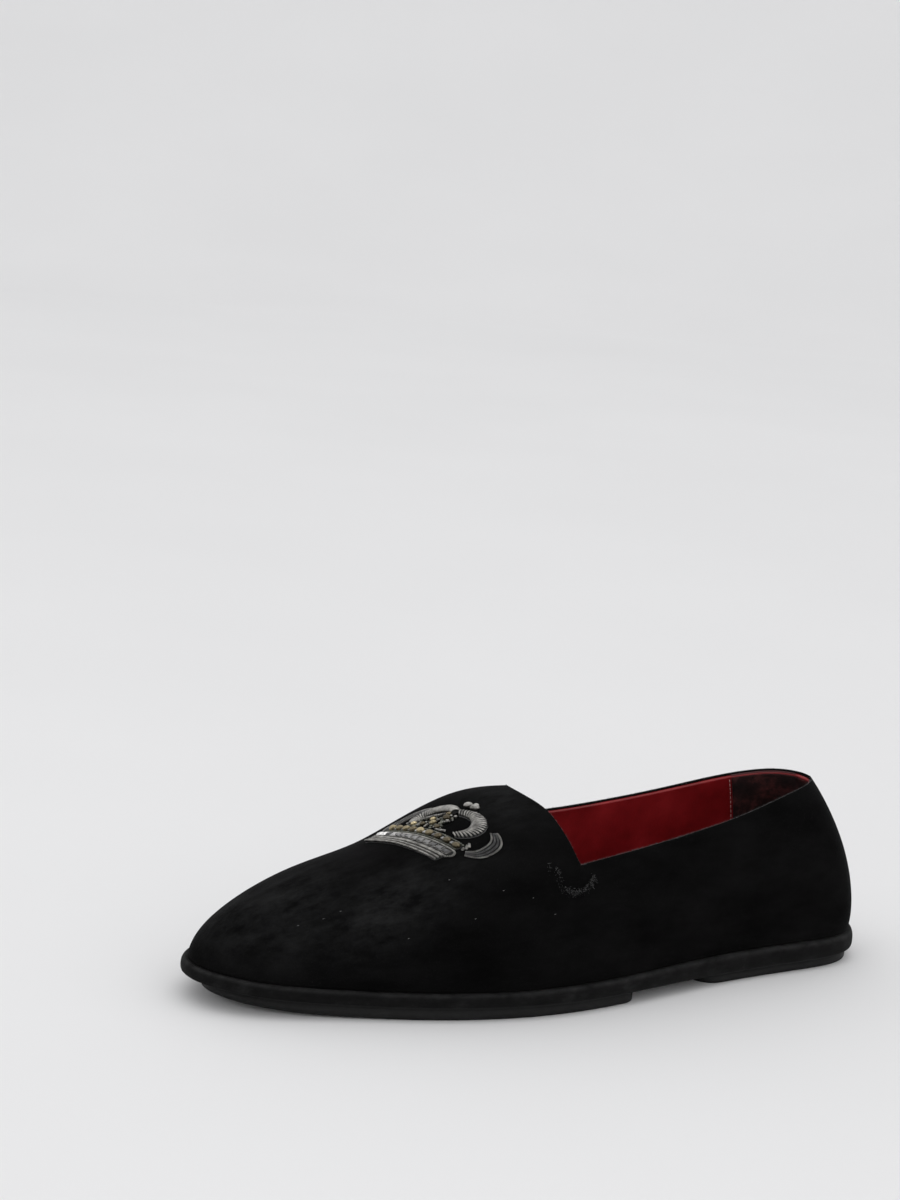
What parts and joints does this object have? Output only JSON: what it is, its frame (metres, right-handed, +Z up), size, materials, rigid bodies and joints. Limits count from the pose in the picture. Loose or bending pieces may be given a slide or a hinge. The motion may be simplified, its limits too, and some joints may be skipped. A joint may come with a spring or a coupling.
{
  "type": "embellished loafer",
  "caption": "Black velvet slipper loafer with a silver bullion-wire crown on the vamp, red leather lining and a thin wrapped sole.",
  "frame": {"origin": "on the floor under the middle of the shoe, at the centre of its bounding box seen from above", "axes": "+X toward the toe, +Y toward the outer side of the left foot, +Z up"},
  "size_m": [0.3004, 0.1016, 0.0789],
  "materials": {
    "velvet": "short black pile with a soft grey sheen",
    "insole_leather": "smooth red leather",
    "midsole_suede": "charcoal suede wrap, worn lighter on its edge",
    "pad_rubber": "matt black",
    "silver_wire": "silver bullion wire, coiled and satin stitched",
    "grey_wire": "dull grey purl wire",
    "crystal": "clear square cut crystals in silver settings",
    "champagne_bead": "gold and champagne glass beads"
  },
  "bodies": {
    "root": {"upper": "velvet", "insole": "insole_leather", "midsole": "midsole_suede", "outsole_forefoot": "pad_rubber", "outsole_heel": "pad_rubber", "crown_cords": "silver_wire", "crown_crystals": "crystal", "crown_beads": "champagne_bead", "crown_orb": "silver_wire", "crown_arch_outer": "silver_wire", "crown_arch_inner": "silver_wire", "crown_loop_outer": "grey_wire", "crown_loop_inner": "grey_wire"}
  },
  "joints": []
}
